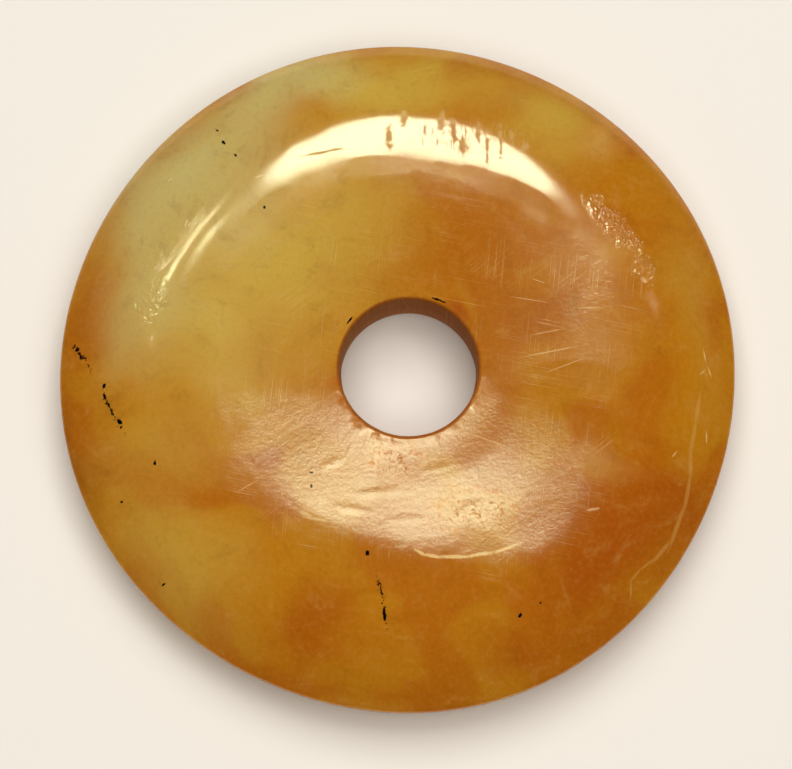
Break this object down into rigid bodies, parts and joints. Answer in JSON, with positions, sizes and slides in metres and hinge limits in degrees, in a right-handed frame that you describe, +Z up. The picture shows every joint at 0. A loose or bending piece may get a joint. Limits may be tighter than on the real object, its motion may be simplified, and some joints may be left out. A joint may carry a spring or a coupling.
{
  "type": "jade bi disc",
  "caption": "Round polished jade ring with a lens-shaped section, slightly dished faces, a thin rim and a small drilled hole near its middle, lying flat.",
  "frame": {"origin": "under the middle of the disc's outline, on the surface that the disc lies on", "axes": "+Z up through the thickness; +Y points to the top edge of the disc as pictured and +X to its right edge"},
  "size_m": [0.055, 0.0552, 0.0086],
  "materials": {
    "jade": "gloss"
  },
  "bodies": {
    "root": {"jade_disc": "jade"}
  },
  "joints": []
}
